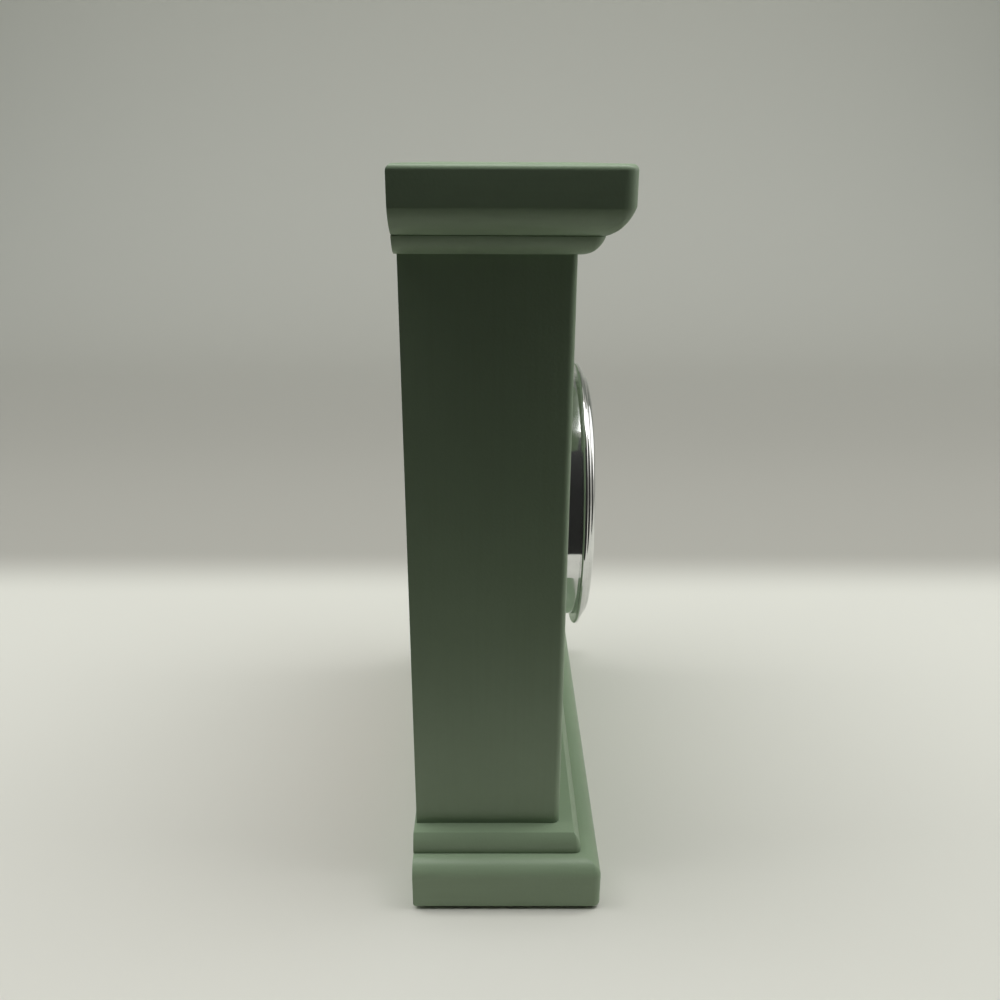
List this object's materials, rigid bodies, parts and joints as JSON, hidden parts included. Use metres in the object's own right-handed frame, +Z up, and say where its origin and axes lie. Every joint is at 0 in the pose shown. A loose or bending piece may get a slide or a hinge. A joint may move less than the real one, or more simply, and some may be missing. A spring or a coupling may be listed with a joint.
{
  "type": "mantel clock",
  "caption": "Upright painted mantel clock with a stepped plinth and a moulded cornice, a round chrome bezel with glass on its front, and a battery quartz movement behind it.",
  "frame": {"origin": "on the floor under the middle of the outside box", "axes": "+Z up, the dial faces -Y, +X to the right as seen from the back's opposite side, that is from the front"},
  "size_m": [0.2114, 0.0776, 0.2902],
  "materials": {
    "painted_wood": "sage green satin paint on wood",
    "bare_wood": "planed pine",
    "back_board": "plain fibreboard",
    "zinc_steel": "zinc plated",
    "felt": "wool felt",
    "bezel_chrome": "polished",
    "lens_glass": "clear mineral glass",
    "ring_aluminium": "satin",
    "dial_enamel": "cream satin lacquer on a metal disc",
    "brass": "turned",
    "rubber": "matt",
    "hand_black": "satin black",
    "movement_plastic": "fine moulded grain",
    "wheel_plastic": "natural moulded plastic",
    "magnet": "sintered",
    "motor_steel": "stamped, bright",
    "copper_wire": "enamelled wire",
    "circuit_resin": "solder mask",
    "chip_resin": "moulded resin",
    "battery_sleeve": "glossy sleeve",
    "contact_steel": "nickel plated"
  },
  "bodies": {
    "case": {"base_slab": "painted_wood", "plinth_step": "painted_wood", "left_side_panel": "painted_wood", "right_side_panel": "painted_wood", "front_panel": "painted_wood", "bed_moulding": "painted_wood", "crown_board": "painted_wood", "corner_battens": "bare_wood", "top_dowels": "bare_wood", "back_panel": "back_board", "back_panel_screws": "zinc_steel", "base_screws": "zinc_steel", "felt_pads": "felt", "dial_pan": "bezel_chrome", "bezel_rim": "bezel_chrome", "pan_washers": "zinc_steel", "pan_nuts": "zinc_steel", "glass_lens": "lens_glass", "spacer_ring": "ring_aluminium", "dial_plate": "dial_enamel", "dial_washer": "brass", "dial_nut": "brass", "rubber_washer": "rubber", "movement_plate": "movement_plastic", "movement_cover": "movement_plastic", "stator_plate": "motor_steel", "coil_core": "motor_steel", "coil_bobbin": "wheel_plastic", "coil_winding": "copper_wire", "circuit_board": "circuit_resin", "quartz_crystal": "motor_steel", "drive_chip": "chip_resin", "battery_contact": "contact_steel", "contact_spring": "contact_steel"},
    "second_train": {"second_wheel": "wheel_plastic", "second_hand": "hand_black"},
    "centre_wheel": {"centre_wheel": "wheel_plastic"},
    "third_wheel": {"third_wheel": "wheel_plastic"},
    "intermediate_wheel": {"intermediate_wheel": "wheel_plastic"},
    "rotor": {"rotor_pinion": "wheel_plastic", "rotor_magnet": "magnet"},
    "minute_arbor": {"minute_cannon": "wheel_plastic", "minute_hand": "hand_black", "hand_nut": "brass"},
    "motion_wheel": {"motion_wheel": "wheel_plastic"},
    "hour_arbor": {"hour_wheel": "wheel_plastic", "hour_hand": "hand_black"},
    "set_knob": {"set_knob": "movement_plastic"},
    "battery": {"battery": "battery_sleeve"}
  },
  "joints": [
    {"name": "second_hand_spin", "type": "hinge", "parent": "case", "child": "second_train", "pos_m": [0, -0.0131, 0.14555], "axis": [0, 1, 0], "continuous": true},
    {"name": "centre_wheel_spin", "type": "hinge", "parent": "case", "child": "centre_wheel", "pos_m": [0, -0.0131, 0.14555], "axis": [0, 1, 0], "continuous": true},
    {"name": "third_wheel_spin", "type": "hinge", "parent": "case", "child": "third_wheel", "pos_m": [-0.00883, -0.0131, 0.15065], "axis": [0, 1, 0], "continuous": true},
    {"name": "intermediate_wheel_spin", "type": "hinge", "parent": "case", "child": "intermediate_wheel", "pos_m": [0.0054, -0.0131, 0.1549], "axis": [0, 1, 0], "continuous": true},
    {"name": "rotor_spin", "type": "hinge", "parent": "case", "child": "rotor", "pos_m": [0.01362, -0.0131, 0.1579], "axis": [0, 1, 0], "continuous": true},
    {"name": "minute_hand_spin", "type": "hinge", "parent": "case", "child": "minute_arbor", "pos_m": [0, -0.0131, 0.14555], "axis": [0, 1, 0], "continuous": true},
    {"name": "motion_wheel_spin", "type": "hinge", "parent": "case", "child": "motion_wheel", "pos_m": [0.00902, -0.0131, 0.14227], "axis": [0, 1, 0], "continuous": true},
    {"name": "hour_hand_spin", "type": "hinge", "parent": "case", "child": "hour_arbor", "pos_m": [0, -0.0131, 0.14555], "axis": [0, 1, 0], "continuous": true},
    {"name": "set_knob_spin", "type": "hinge", "parent": "case", "child": "set_knob", "pos_m": [0.01858, -0.0131, 0.14143], "axis": [0, 1, 0], "continuous": true},
    {"name": "battery_slide", "type": "slide", "parent": "case", "child": "battery", "axis": [0, 1, 0], "range_m": [0, 0.016]}
  ],
  "couplings": [
    {"joint": "centre_wheel_spin", "follows": "second_hand_spin", "ratio": 0.016667},
    {"joint": "third_wheel_spin", "follows": "second_hand_spin", "ratio": -0.13333},
    {"joint": "intermediate_wheel_spin", "follows": "second_hand_spin", "ratio": -5},
    {"joint": "rotor_spin", "follows": "second_hand_spin", "ratio": 30},
    {"joint": "motion_wheel_spin", "follows": "minute_hand_spin", "ratio": -0.33333},
    {"joint": "hour_hand_spin", "follows": "minute_hand_spin", "ratio": 0.083333},
    {"joint": "set_knob_spin", "follows": "minute_hand_spin", "ratio": 1}
  ]
}
